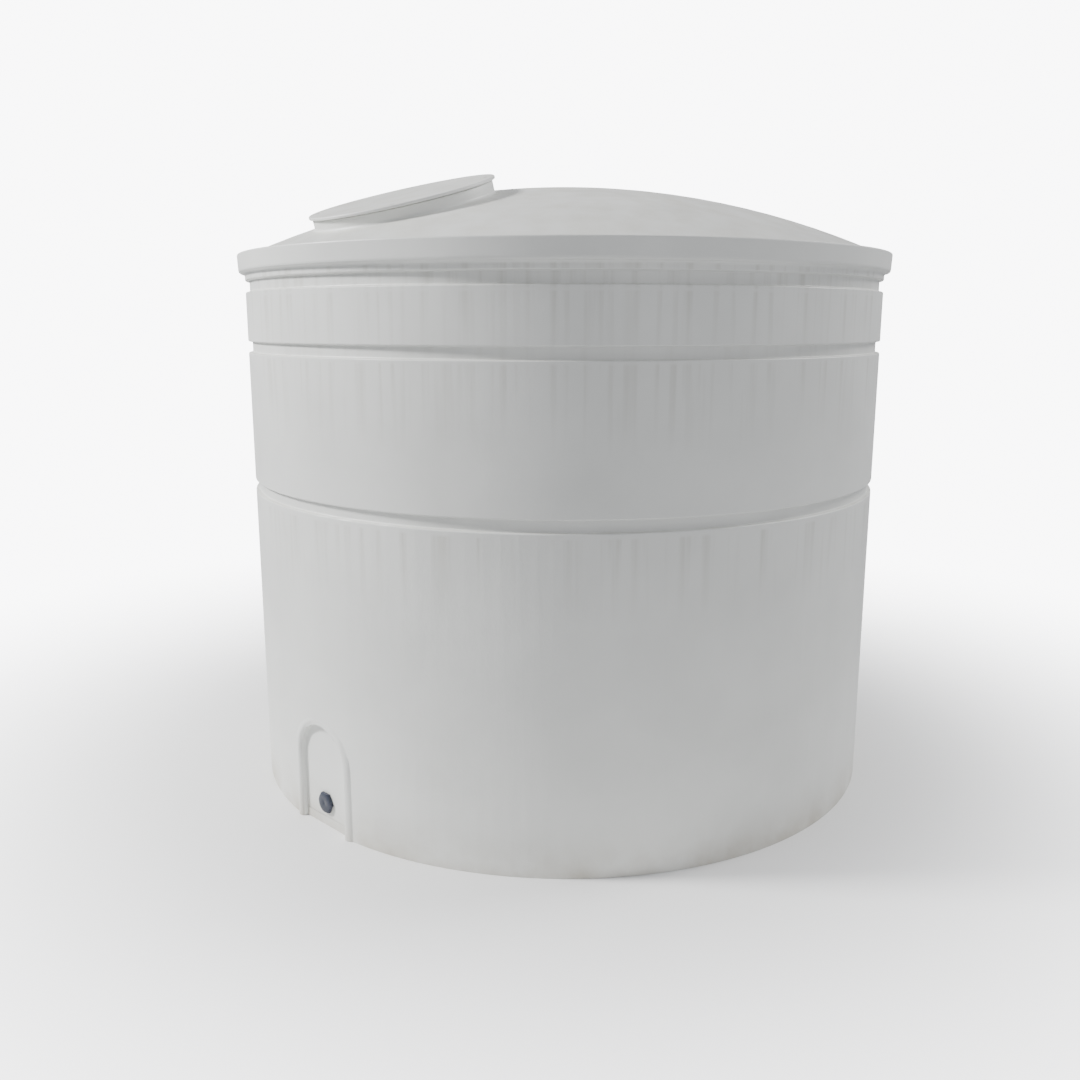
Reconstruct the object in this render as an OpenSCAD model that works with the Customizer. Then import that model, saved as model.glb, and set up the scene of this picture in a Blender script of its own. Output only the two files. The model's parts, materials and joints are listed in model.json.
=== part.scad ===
// Round domed polyethylene water tank for livestock supply.
// Origin: centre of the underside. +Z up, the outlet and the manhole face -Y.
// All sizes in millimetres.

/* [Tank body] */
// Outside diameter of the wall
tank_d = 1880; // [1560:10:2260]
// Height from the ground to the shelf on top of the eave band
eave_z = 1536; // [1280:1:1850]
// Height of the eave band above the seam between wall and roof
eave_h = 60; // [50:1:75]
// How far the eave band stands out from the wall
eave_out = 19; // [14:0.5:24]
// Thickness of the moulded plastic
wall_t = 8; // [6:0.5:10]
// Rise of the dome above the shelf
dome_rise = 197; // [160:1:240]
// Width of the flat shelf between the eave band and the dome
shelf_w = 38; // [30:1:48]

/* [Grooves] */
// Height of each groove between its shoulders
groove_w = 30.5; // [24:0.5:38]
// Depth of each groove
groove_depth = 12; // [9:0.5:14]
// Fillet on each edge of a groove
groove_fillet = 4; // [3:0.25:4.5]
// Height of the band between the top groove and the seam
top_band_h = 0.5; // [0.25:0.25:6]
// Centre of the second groove below the seam
second_groove_drop = 195; // [190:1:230]
// Centre of the low groove above the ground
low_groove_z = 886; // [740:1:900]

/* [Outlet recess] */
// Depth of the flat face behind the wall's outermost line
recess_depth = 17; // [14:0.5:21]
// Half of the recess's width between its side walls
recess_half_w = 96.5; // [80:0.5:112]
// Height of the centre of the arch
arch_z = 197; // [165:1:235]
// Fillet between side wall and flat face
recess_fillet = 4; // [3:0.5:6]
// Rounding of the rim on its inner side
rim_inner_r = 11; // [8:0.5:13]
// Rounding of the rim on its outer side
rim_outer_r = 24; // [20:0.5:28]
// How far the rim stands out past the wall's outermost line
rim_out = 1; // [0.5:0.25:3]
// Height of the foot band at the base of the flat face
toe_h = 25; // [20:1:29]
// How far the foot band stands proud of the flat face
toe_out = 1.5; // [1:0.25:3]

/* [Outlet] */
// Centre of the outlet above the ground
outlet_z = 69; // [62:1:90]
// Radius of the outlet thread
outlet_r = 23.9; // [20:0.1:25]
// Length of the brass insert
insert_l = 32; // [27:1:38]
// Wall of the brass insert
insert_wall = 7; // [5:0.5:8]
// Plastic that covers each end of the insert
insert_skin = 4; // [3:0.5:5]
// Plastic round the insert
boss_wall = 9; // [6:0.5:11]
// Thickness of the plug's hexagonal head
plug_head_h = 8.8; // [7:0.2:10.6]
// Width of the plug's head across its flats, beyond the thread's diameter
plug_head_extra = 6; // [4:0.5:8]
// Thickness of the sealing ring under the head
plug_seal_t = 1.2; // [1:0.1:2]

/* [Manhole] */
// Outside diameter of the collar
collar_d = 482; // [402:2:560]
// Distance from the dome's edge to the manhole's centre line
manhole_inset = 314; // [300:1:340]
// How much more the collar leans than the dome's slope, in degrees
manhole_lean = 0.9; // [0:0.1:2]
// Height of the lid's top face above the dome on the centre line
lid_rise = 27; // [24:0.5:34]
// Width of the collar's inward flange, from its outside
flange_w = 38; // [34:1:44]
// Thickness of the collar's flange
flange_t = 8; // [6:0.5:9]

/* [Lid] */
// How far the lid overhangs the collar
lid_overhang = 8; // [5:0.5:12]
// Thickness of the lid
lid_t = 8; // [7:0.5:10]
// Gap between lid and flange that the gasket fills
lid_gap = 1.5; // [1:0.25:2.5]
// Depth of the lid's locating ring
spigot_h = 25; // [18:1:30]
// Thickness of the lid's locating ring
spigot_t = 7; // [5:0.5:9]
// Width of the lid gasket
gasket_w = 8; // [6:0.5:9]
// Depth of the gasket's groove in the lid
gasket_seat = 3; // [2:0.25:3.5]

/* [Lid screws] */
// Number of lid screws
screw_count = 4; // [4:1:8]
// Radius of the screw's shank
screw_r = 3; // [2.5:0.5:4]
// Radius of the screw's head
head_r = 5.4; // [5:0.2:7]
// Height of the screw's head
head_h = 3; // [2.5:0.1:3.5]
// Thickness of the washer under the head
washer_t = 1; // [0.8:0.1:1.2]
// Length of the screw's shank
screw_l = 24; // [20:1:28]

/* [Overflow] */
// Outside radius of the overflow pipe
overflow_r = 45; // [37:0.5:47]
// Wall of the overflow pipe
overflow_wall = 4; // [3:0.5:5]
// Length of the overflow pipe outside its flange
overflow_l = 57; // [45:1:70]
// How far the overflow's flange reaches past the pipe
overflow_flange_w = 13; // [11:0.5:15]
// Wire spacing of the insect screen
screen_pitch = 6.5; // [5:0.5:9]

/* [Float valve] */
// Radius of the valve's threaded tail
tail_r = 16.6; // [14:0.1:19]
// Length of the tail outside the wall
tail_out = 48; // [40:1:58]
// Distance from the wall's outside to the inner end of the valve
valve_reach = 124; // [122:1:126]
// Radius of the float
float_r = 57; // [48:1:68]
// Length of the arm from its pivot to the middle of the float
arm_l = 300; // [250:5:340]
// Radius of the arm's rod
arm_r = 3.2; // [2.8:0.1:3.4]
// Height of the valve above the overflow
valve_rise = 24; // [18:1:26]

/* [Hidden] */
$fn = 96;

eps = 0.01;
fit = 0.05;                                  // radial clearance of a running fit
loose = 0.7;                                 // radial clearance of a hole in the wall
wall_r = tank_d / 2;
seam_z = eave_z - eave_h;
top_groove_drop = groove_w / 2 + wall_t + groove_fillet + top_band_h;
groove_zs = [low_groove_z, seam_z - second_groove_drop, seam_z - top_groove_drop];

// Dome: a spherical cap that springs from the shelf.
dome_edge_r = wall_r + eave_out - shelf_w;
dome_sphere_r = (dome_edge_r * dome_edge_r + dome_rise * dome_rise) / (2 * dome_rise);
dome_centre_z = eave_z + dome_rise - dome_sphere_r;

// Eave band.
eave_curve = 8;
eave_edge = 4;
eave_taper = 2;

// Recess.
face_y = wall_r - recess_depth;              // distance of the flat face from the axis
rim_foot_y = wall_r - 1.5 * wall_t;
cut_past = 40;                               // how far the cutting solids run past the wall

// Manhole frame: its origin is the centre of the lid's top face.
manhole_dome_y = dome_edge_r - manhole_inset;
dome_slope = asin(manhole_dome_y / dome_sphere_r);
manhole_tilt = dome_slope + manhole_lean;
lid_y = manhole_dome_y + lid_rise * sin(dome_slope);
lid_z = dome_centre_z + dome_sphere_r * cos(dome_slope) + lid_rise * cos(dome_slope);
collar_r = collar_d / 2;
collar_bore_r = collar_r - flange_w;
collar_top = -lid_t - lid_gap;
lid_r = collar_r + lid_overhang;
spigot_r = collar_bore_r - 4;
gasket_r = collar_bore_r + 3;                // inner radius of the gasket
screw_pcr = collar_r - 15;                   // radius of the screws' circle
screw_boss_r = 11;
screw_insert_r = screw_r + 2.5;
screw_insert_l = 18;
counterbore = head_h + washer_t + 0.3;

// Outlet.
plug_flat_r = outlet_r + plug_head_extra / 2;
insert_r = outlet_r + insert_wall;
insert_flange = 5;
boss_r = insert_r + insert_flange + boss_wall;
boss_l = insert_l + 2 * insert_skin;
plug_l = insert_l + insert_skin;

// Overflow, on +Y between the two upper grooves.
overflow_z = (groove_zs[1] + groove_zs[2]) / 2;
overflow_tail_r = overflow_r - 0.5;
overflow_bore_r = overflow_r - overflow_wall;
overflow_flange_r = overflow_r + overflow_flange_w;
overflow_flange_t = 8;
overflow_seal_r = overflow_flange_r - 2;
overflow_nut_r = overflow_flange_r + 4;
overflow_nut_t = 12;
overflow_seat = 2 * wall_t;                  // how far the nut's seat stands inside the wall's outside
overflow_lip = 2.5;                          // the lip in the bore that the screen rests on
overflow_lip_w = 4;
seal_stand = 5;                              // how far the flange stands off the wall
overflow_tail = 45;
screen_x = seal_stand + overflow_flange_t + overflow_l - 8;
screen_t = 1.5;
screen_ring_t = 4;
screen_wire = 1.2;
screen_rim = 3;

// Float valve: x runs outward from the wall, through the tail's axis.
valve_polar = 210;                           // direction of the tail round the tank
valve_z = overflow_z + valve_rise;
body_r = 19;
tail_bore_r = 12;
piston_bore_r = 10;
piston_r = piston_bore_r - fit;
seat_x = -76;
seat_t = 6;
pivot_x = -104;
pivot_z = -15;
lever_l = 15;
arm_swing = 52;
arm_rest = 68;                               // how far the arm hangs below the level
lever_lean = arm_swing / 2;
piston_travel = 2 * lever_l * sin(lever_lean);
tail_relief_x = 14.5;                        // run-out groove between the nut's thread and the pipe's
tail_relief_w = 3.5;
tail_relief_depth = 1.4;
seat_bore_r = 5;
shut_gap = 0.3;                              // left between washer and seat when shut
piston_washer_r = 8.5;
piston_washer_t = 4;
piston_l = 35.7;
slot_half_y = 3.8;                           // half width of the slots in body and piston
slot_top = 6;                                // top of the piston's slot round the lever's tip
slot_step = -3.4;                            // where that slot widens for the lever
tip_room = 4.2;                              // half length of the slot round the tip
lever_room = 8;                              // half length of the slot round the lever
tip_r = 3;
tip_half = 3;                                // half width of the lever and its tip
lever_half_t = 2;
pin_r = 2;
pin_inset = 0.6;                             // how far the pin's ends lie inside the body
hub_r = 4.5;
hub_half = 3.4;                              // half width of the hub
drip_r = 6;                                  // outlet hole under the seat
drip_x = seat_x - 8;
float_wall = 2.5;
boss_rod_r = 9;
boss_depth = 22;                             // how far the boss reaches into the float
boss_stand = 6;                              // how far it stands out of the float
boss_end = 4;                                // how far the rod stops short of the boss's end
lock_nut_r = 7.5;
lock_nut_t = 6;
nut_t = 10;
valve_seal_t = 3;
valve_nut_r = tail_r + 10;
valve_seal_r = valve_nut_r - 4;

plastic_white = [0.90, 0.91, 0.91];
dark_blue = [0.10, 0.12, 0.20];
float_blue = [0.12, 0.30, 0.62];
brass = [0.78, 0.62, 0.33];
rubber = [0.09, 0.09, 0.10];
steel = [0.72, 0.73, 0.75];
grey = [0.45, 0.47, 0.50];

// ---------------------------------------------------------------- outlines

function arc(cx, cy, r, from, to, steps = 3) =
    [for (i = [0:steps]) let (a = from + (to - from) * i / steps) [cx + r * cos(a), cy + r * sin(a)]];

// One groove in a wall line of radius r, going up, as [radius, height] points.
function groove_line(r, z, w, d, f) = concat(
    arc(r - f, z - w / 2 - f, f, 0, 90),
    arc(r - d + f, z - w / 2 + f, f, 270, 180),
    arc(r - d + f, z + w / 2 - f, f, 180, 90),
    arc(r - f, z + w / 2 + f, f, 270, 360)
);

function wall_line(r, w) = concat(
    [[r, 0]],
    [for (z = groove_zs) each groove_line(r, z, w, groove_depth, groove_fillet)],
    [[r, seam_z]]
);

// Dome arc from the axis to where it meets height z, for a sphere of radius r.
function dome_line(r, z, steps) =
    let (end = asin((z - dome_centre_z) / r))
    [for (i = [0:steps]) let (a = 90 + (end - 90) * i / steps) [r * cos(a), dome_centre_z + r * sin(a)]];

// Where the dome springs from the shelf, outside and inside.
dome_foot = dome_line(dome_sphere_r, eave_z, 1)[1];
dome_inner_foot = dome_line(dome_sphere_r - wall_t, eave_z - wall_t, 1)[1];

// How far a circle of radius r falls away from its tangent at a given half chord.
function sag(r, half) = r - sqrt(r * r - half * half);

function reversed(list) = [for (i = [len(list) - 1:-1:0]) list[i]];

// Eave band from the seam up to the shelf, on a wall line of radius r.
function eave_line(r) = concat(
    arc(r + eave_curve, seam_z, eave_curve, 180, 90),
    arc(r + eave_out - eave_taper - eave_curve, seam_z + 2 * eave_curve, eave_curve, 270, 360),
    arc(r + eave_out - eave_edge, eave_z - eave_edge, eave_edge, 0, 90)
);

function eave_inner_line(r) = [
    [r, seam_z],
    [r, seam_z + eave_curve + wall_t / 2],
    [r + eave_out - eave_taper, seam_z + 2 * eave_curve + wall_t],
    [r + eave_out, eave_z - eave_curve - wall_t / 2],
    [r + eave_out - eave_curve, eave_z - wall_t]
];

// Half outline of the recess: [half width, distance from the axis], grown outward by g.
function recess_line(g) =
    let (w = recess_half_w + g, y = face_y - g, f = recess_fillet + g)
    concat([[0, y]], arc(w - f, y + f, f, 270, 360), [[w, wall_r + cut_past], [0, wall_r + cut_past]]);

// Outline of the raised rim beside the recess, in the same terms.
function rim_line() =
    let (
        crest = wall_r + rim_out,
        w = recess_half_w + rim_inner_r,
        rim_end = asin((rim_foot_y - crest + rim_outer_r) / rim_outer_r)
    )
    concat(
        [[recess_half_w - 1, rim_foot_y], [recess_half_w, rim_foot_y]],
        arc(w, crest - rim_inner_r, rim_inner_r, 180, 90, 4),
        arc(w, crest - rim_outer_r, rim_outer_r, 80, rim_end, 4)
    );

// ---------------------------------------------------------------- frames

// Stands children on the manhole: z runs out through the lid.
module at_manhole() {
    translate([0, -lid_y, lid_z]) rotate([manhole_tilt, 0, 0]) children();
}

module at_screws() {
    for (i = [0:screw_count - 1])
        rotate([0, 0, 360 * (i + 0.5) / screw_count]) translate([screw_pcr, 0, 0]) children();
}

// x runs outward through the outlet, from the flat face of the recess.
module at_outlet() {
    translate([0, -face_y, outlet_z]) rotate([0, 0, -90]) children();
}

// x runs outward through the overflow, from the wall's outside.
module at_overflow() {
    rotate([0, 0, 90]) translate([wall_r, 0, overflow_z]) children();
}

// x runs outward through the valve's tail, from the wall's outside.
module at_valve() {
    rotate([0, 0, valve_polar]) translate([wall_r, 0, valve_z]) children();
}

// Turns the arm's own x axis to where the arm hangs at rest.
module at_arm() {
    translate([pivot_x, 0, pivot_z]) rotate([0, 180 - arm_rest, 0]) children();
}

// ---------------------------------------------------------------- shared shapes

// Rod along x between two places.
module rod_x(r, from, to, fn = 96) {
    translate([from, 0, 0]) rotate([0, 90, 0]) cylinder(r = r, h = to - from, $fn = fn);
}

module ring_x(outer, inner, from, to) {
    difference() {
        rod_x(outer, from, to);
        rod_x(inner, from - 1, to + 1);
    }
}

// Hexagonal nut with a flat on top, which keeps its corners clear of the grooves.
module hex_nut_x(corner_r, bore_r, from, to) {
    difference() {
        rotate([30, 0, 0]) rod_x(corner_r, from, to, 6);
        rod_x(bore_r, from - 1, to + 1);
    }
}

// Carries a half outline up two legs from height foot and over a half-round arch.
module arched(line, foot) {
    for (side = [-1, 1])
        translate([0, 0, foot]) linear_extrude(arch_z - foot) polygon([for (p = line) [side * p[0], -p[1]]]);
    translate([0, 0, arch_z]) rotate([90, 0, 0]) rotate_extrude(angle = 180) polygon(line);
}

// ---------------------------------------------------------------- tank shells

module tank_wall() color(plastic_white) {
    difference() {
        union() {
            rotate_extrude()
                polygon(concat(
                    wall_line(wall_r, groove_w),
                    reversed(wall_line(wall_r - wall_t, groove_w + 2 * wall_t))
                ));
            intersection() {
                arched(recess_line(wall_t), 0);
                cylinder(r = wall_r - wall_t / 2, h = arch_z + recess_half_w + 3 * wall_t);
            }
            arched(rim_line(), 0);
            at_outlet() rod_x(boss_r, -boss_l, -wall_t / 2);
        }
        difference() {
            arched(recess_line(0), -1);
            toe_band();
        }
        at_outlet() {
            rod_x(outlet_r + fit + 0.25, -boss_l - 1, recess_depth);
            insert_shape();
        }
        at_overflow() rod_x(overflow_r + loose, -2 * wall_t, wall_t);
        at_valve() rod_x(tail_r + loose, -2 * wall_t, wall_t);
    }
}

// Foot band across the base of the flat face.
module toe_band() {
    translate([-recess_half_w, -face_y - toe_out, -1]) cube([2 * recess_half_w, toe_out + 1, toe_h + 1]);
}

module tank_floor() color(plastic_white) {
    difference() {
        cylinder(r = wall_r - wall_t, h = wall_t);
        arched(recess_line(wall_t), -1);
    }
}

module tank_eave() color(plastic_white) {
    rotate_extrude()
        polygon(concat(
            eave_line(wall_r),
            [dome_foot, dome_inner_foot],
            reversed(eave_inner_line(wall_r - wall_t))
        ));
}

module tank_dome() color(plastic_white) {
    difference() {
        rotate_extrude()
            polygon(concat(
                reversed(dome_line(dome_sphere_r, eave_z, 16)),
                dome_line(dome_sphere_r - wall_t, eave_z - wall_t, 16)
            ));
        at_manhole() translate([0, 0, -4 * lid_rise]) cylinder(r = collar_r - wall_t, h = 4 * lid_rise);
    }
}

// ---------------------------------------------------------------- manhole

module manhole_collar() color(plastic_white) {
    difference() {
        at_manhole() {
            difference() {
                translate([0, 0, -3 * lid_rise]) cylinder(r = collar_r, h = 3 * lid_rise + collar_top);
                translate([0, 0, -3 * lid_rise - 1])
                    cylinder(r = collar_r - wall_t, h = 3 * lid_rise + 1 + collar_top - flange_t);
                translate([0, 0, -3 * lid_rise - 1]) cylinder(r = collar_bore_r, h = 4 * lid_rise);
                at_screws() screw_insert_space();
            }
            difference() {
                at_screws() translate([0, 0, collar_top - screw_insert_l - 2])
                    cylinder(r = screw_boss_r, h = screw_insert_l + 2 - flange_t / 2);
                at_screws() screw_insert_space();
                difference() {
                    translate([0, 0, -3 * lid_rise]) cylinder(r = collar_r + screw_boss_r, h = 3 * lid_rise);
                    translate([0, 0, -3 * lid_rise - 1])
                        cylinder(r = collar_r - wall_t / 2, h = 3 * lid_rise + 2);
                }
            }
        }
        rotate_extrude() polygon(concat(
            [[0, 0]],
            dome_line(dome_sphere_r, eave_z, 16),
            [[dome_edge_r, 0]]
        ));
    }
}

module screw_insert_space() {
    translate([0, 0, collar_top - screw_insert_l])
        cylinder(r = screw_insert_r, h = screw_insert_l + 1, $fn = 48);
}

module collar_inserts() color(brass) at_manhole() at_screws()
    difference() {
        translate([0, 0, collar_top - screw_insert_l])
            cylinder(r = screw_insert_r, h = screw_insert_l, $fn = 48);
        translate([0, 0, collar_top - screw_insert_l - 1])
            cylinder(r = screw_r + 2 * fit, h = screw_insert_l + 2, $fn = 48);
    }

module manhole_lid() color(plastic_white) at_manhole()
    difference() {
        lid_plate();
        translate([0, 0, -lid_t - 1]) difference() {
            cylinder(r = gasket_r + gasket_w, h = 1 + gasket_seat);
            translate([0, 0, -1]) cylinder(r = gasket_r, h = 3 + gasket_seat);
        }
        at_screws() {
            translate([0, 0, -counterbore]) cylinder(r = head_r + 1, h = counterbore + 1, $fn = 48);
            translate([0, 0, -lid_t - 1]) cylinder(r = screw_r + 0.4, h = lid_t + 2, $fn = 48);
        }
    }

// Ring under the lid that keeps it central on the manhole.
module lid_ring() color(plastic_white) at_manhole()
    translate([0, 0, -lid_t - spigot_h]) difference() {
        cylinder(r = spigot_r, h = spigot_h);
        translate([0, 0, -1]) cylinder(r = spigot_r - spigot_t, h = spigot_h + 2);
    }

// Flat disc with a small rounding on its top and bottom edges.
module lid_plate() {
    e = 2;
    rotate_extrude() polygon(concat(
        [[0, -lid_t]],
        arc(lid_r - e, -lid_t + e, e, 270, 360),
        arc(lid_r - e, -e, e, 0, 90),
        [[0, 0]]
    ));
}

module lid_gasket() color(rubber) at_manhole()
    translate([0, 0, collar_top]) difference() {
        cylinder(r = gasket_r + gasket_w, h = lid_gap + gasket_seat);
        translate([0, 0, -1]) cylinder(r = gasket_r, h = lid_gap + gasket_seat + 2);
    }

module lid_screws() color(steel) at_manhole() at_screws()
    translate([0, 0, -counterbore + washer_t]) {
        difference() {
            cylinder(r = head_r, h = head_h, $fn = 48);
            translate([0, 0, head_h - 2]) cylinder(r = head_r / 2.4, h = 3, $fn = 6);
        }
        translate([0, 0, -screw_l]) cylinder(r = screw_r, h = screw_l + eps, $fn = 48);
    }

module lid_screw_washers() color(steel) at_manhole() at_screws()
    translate([0, 0, -counterbore]) difference() {
        cylinder(r = head_r + 0.6, h = washer_t, $fn = 48);
        translate([0, 0, -1]) cylinder(r = screw_r + 0.2, h = washer_t + 2, $fn = 48);
    }

// ---------------------------------------------------------------- outlet

// Outside of the brass insert, with a flange that locks it in the plastic.
module insert_shape() {
    rod_x(insert_r, -insert_skin - insert_l, -insert_skin);
    rod_x(insert_r + insert_flange, -insert_skin - insert_l * 0.6, -insert_skin - insert_l * 0.4);
}

module outlet_insert() color(brass) at_outlet()
    difference() {
        insert_shape();
        rod_x(outlet_r + fit, -boss_l - 1, 1);
    }

module outlet_plug() color(dark_blue) at_outlet() {
    head_corner_r = plug_flat_r / cos(30);
    difference() {
        union() {
            translate([plug_seal_t, 0, 0]) rotate([0, 90, 0]) rotate([0, 0, 30])
                cylinder(r = head_corner_r, h = plug_head_h, $fn = 6);
            rod_x(outlet_r, -plug_l, plug_seal_t + eps);
        }
        rod_x(outlet_r - 5, -plug_l - 1, -6);
    }
}

module outlet_plug_seal() color(rubber) at_outlet()
    ring_x(plug_flat_r - 0.2, outlet_r + fit, 0, plug_seal_t);

// ---------------------------------------------------------------- overflow

module overflow_pipe() color(grey) at_overflow() {
    flange_end = seal_stand + overflow_flange_t;
    difference() {
        union() {
            rod_x(overflow_flange_r, seal_stand, flange_end);
            rod_x(overflow_r, flange_end - eps, flange_end + overflow_l);
            rod_x(overflow_tail_r, -overflow_tail, seal_stand + eps);
        }
        rod_x(overflow_bore_r - overflow_lip, -overflow_tail - 1, flange_end + overflow_l + 1);
        rod_x(overflow_bore_r, -overflow_tail - 1, screen_x - overflow_lip_w);
        rod_x(overflow_bore_r, screen_x, flange_end + overflow_l + 1);
    }
}

module overflow_outer_seal() color(rubber) difference() {
    at_overflow() ring_x(overflow_seal_r, overflow_r + loose, -seal_stand, seal_stand);
    cylinder(r = wall_r, h = eave_z, $fn = 256);
}

module overflow_inner_seal() color(rubber) intersection() {
    at_overflow() ring_x(overflow_seal_r, overflow_tail_r + fit, -overflow_seat, 0);
    cylinder(r = wall_r - wall_t, h = eave_z, $fn = 256);
}

module overflow_nut() color(grey) at_overflow()
    hex_nut_x(overflow_nut_r, overflow_tail_r + fit, -overflow_seat - overflow_nut_t, -overflow_seat);

module overflow_screen() color(steel) at_overflow() {
    r = overflow_bore_r - fit;
    lines = floor((r - screen_rim) / screen_pitch);
    ring_x(r, r - screen_rim, screen_x, screen_x + screen_t);
    for (turn = [0, 90], i = [-lines:lines])
        let (half = sqrt(pow(r - 1, 2) - pow(i * screen_pitch, 2)))
        translate([screen_x, 0, 0]) rotate([turn, 0, 0])
            translate([(screen_t - screen_wire) / 2, -half, i * screen_pitch - screen_wire / 2])
            cube([screen_wire, 2 * half, screen_wire]);
}

module overflow_screen_ring() color(grey) at_overflow() {
    from = screen_x + screen_t;
    ring_x(overflow_bore_r - fit, overflow_bore_r - screen_rim, from, from + screen_ring_t);
}

// ---------------------------------------------------------------- float valve

module valve_body() color(brass) at_valve()
    difference() {
        union() {
            rod_x(tail_r, seat_x + 12, tail_out);
            rod_x(body_r, -valve_reach, seat_x + 16);
        }
        rod_x(tail_bore_r, seat_x, tail_out + 1);
        rod_x(piston_bore_r, -valve_reach - 1, seat_x + eps);
        ring_x(tail_r + 1, tail_r - tail_relief_depth, tail_relief_x, tail_relief_x + tail_relief_w);
        translate([-valve_reach - 1, -slot_half_y, -body_r - 1])
            cube([valve_reach + pivot_x + 2 * hub_r, 2 * slot_half_y, body_r + 1]);
        translate([drip_x, 0, -body_r - 1]) cylinder(r = drip_r, h = body_r + 1);
        translate([pivot_x, -body_r - 1, pivot_z]) rotate([-90, 0, 0])
            cylinder(r = pin_r, h = 2 * body_r + 2);
    }

module valve_seat() color("white") at_valve()
    ring_x(tail_bore_r - fit, seat_bore_r, seat_x, seat_x + seat_t);

// The piston, drawn open: its slot takes the tip of the arm's lever.
module valve_piston() color(brass) at_valve() {
    tip_x = pivot_x - lever_l * sin(lever_lean);
    front = seat_x - shut_gap - piston_washer_t - piston_travel;
    difference() {
        rod_x(piston_r, front - piston_l, front);
        translate([tip_x - tip_room, -slot_half_y, slot_step])
            cube([2 * tip_room, 2 * slot_half_y, slot_top - slot_step]);
        translate([tip_x - lever_room, -slot_half_y, -piston_r - 1])
            cube([2 * lever_room, 2 * slot_half_y, piston_r + 1.1 + slot_step]);
    }
}

module piston_washer() color(rubber) at_valve() {
    front = seat_x - shut_gap - piston_travel;
    rod_x(piston_washer_r, front - piston_washer_t, front);
}

module valve_outer_nut() color(brass) at_valve()
    hex_nut_x(valve_nut_r, tail_r + fit, valve_seal_t, valve_seal_t + nut_t);

module valve_inner_nut() color(brass) at_valve()
    hex_nut_x(valve_nut_r, tail_r + fit, -wall_t - valve_seal_t - nut_t, -wall_t - valve_seal_t);

module valve_outer_seal() color(rubber) at_valve() ring_x(valve_seal_r, tail_r + fit, 0, valve_seal_t);

module valve_inner_seal() color(rubber) at_valve()
    ring_x(valve_seal_r, tail_r + fit, -wall_t - valve_seal_t, -wall_t - sag(wall_r - wall_t, valve_seal_r));

// The arm: a rod to the float, a hub on the pin, and a lever that works the piston.
module valve_arm() color(brass) at_valve()
    difference() {
        union() {
            at_arm() rod_x(arm_r, 0, arm_l - float_r + boss_depth - boss_end, 48);
            translate([pivot_x, -hub_half, pivot_z]) rotate([-90, 0, 0])
                cylinder(r = hub_r, h = 2 * hub_half);
            translate([pivot_x, 0, pivot_z]) rotate([0, -lever_lean, 0]) {
                translate([-lever_half_t, -tip_half, 0]) cube([2 * lever_half_t, 2 * tip_half, lever_l]);
                translate([0, -tip_half, lever_l]) rotate([-90, 0, 0]) cylinder(r = tip_r, h = 2 * tip_half);
            }
        }
        translate([pivot_x, -body_r, pivot_z]) rotate([-90, 0, 0]) cylinder(r = pin_r + fit, h = 2 * body_r);
    }

module arm_pivot_pin() color(steel) at_valve() {
    half = sqrt(body_r * body_r - pivot_z * pivot_z) - pin_inset;
    translate([pivot_x, -half, pivot_z]) rotate([-90, 0, 0]) cylinder(r = pin_r, h = 2 * half);
}

// Hollow ball with a socket for the boss.
module float_ball() color(float_blue) at_valve() at_arm()
    difference() {
        translate([arm_l, 0, 0]) sphere(r = float_r);
        difference() {
            translate([arm_l, 0, 0]) sphere(r = float_r - float_wall);
            rod_x(boss_rod_r + float_wall, arm_l - float_r, arm_l - float_r + boss_depth + float_wall);
        }
        rod_x(boss_rod_r, arm_l - float_r - 10, arm_l - float_r + boss_depth);
    }

// Threaded boss that the rod screws into.
module float_boss() color(brass) at_valve() at_arm()
    difference() {
        rod_x(boss_rod_r, arm_l - float_r - boss_stand, arm_l - float_r + boss_depth);
        rod_x(arm_r, arm_l - float_r - boss_stand - 1, arm_l - float_r + boss_depth - boss_end);
    }

module float_lock_nut() color(brass) at_valve() at_arm()
    hex_nut_x(lock_nut_r, arm_r, arm_l - float_r - boss_stand - lock_nut_t, arm_l - float_r - boss_stand);

// ---------------------------------------------------------------- nodes

tank_wall();
tank_floor();
tank_eave();
tank_dome();
manhole_collar();
collar_inserts();
manhole_lid();
lid_ring();
lid_gasket();
lid_screws();
lid_screw_washers();
outlet_insert();
outlet_plug();
outlet_plug_seal();
overflow_pipe();
overflow_outer_seal();
overflow_inner_seal();
overflow_nut();
overflow_screen();
overflow_screen_ring();
valve_body();
valve_seat();
valve_piston();
piston_washer();
valve_outer_nut();
valve_inner_nut();
valve_outer_seal();
valve_inner_seal();
valve_arm();
arm_pivot_pin();
float_ball();
float_boss();
float_lock_nut();
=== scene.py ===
# %% [markdown]
# # A domed water tank for livestock
# The tank is one hollow moulding of polyethylene with a lift-off lid, a plugged outlet at its foot, a
# screened overflow at the back and a float valve that fills it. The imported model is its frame: it says
# where each part is and how it moves, and it never changes here. Blender adds what the eye looks for:
# softened edges, threads, a mould seam, woven wire, and surfaces that look moulded, cast or drawn.

# %% Load the frame
import bpy
import json
import math
from mathutils import Matrix, Vector


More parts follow.
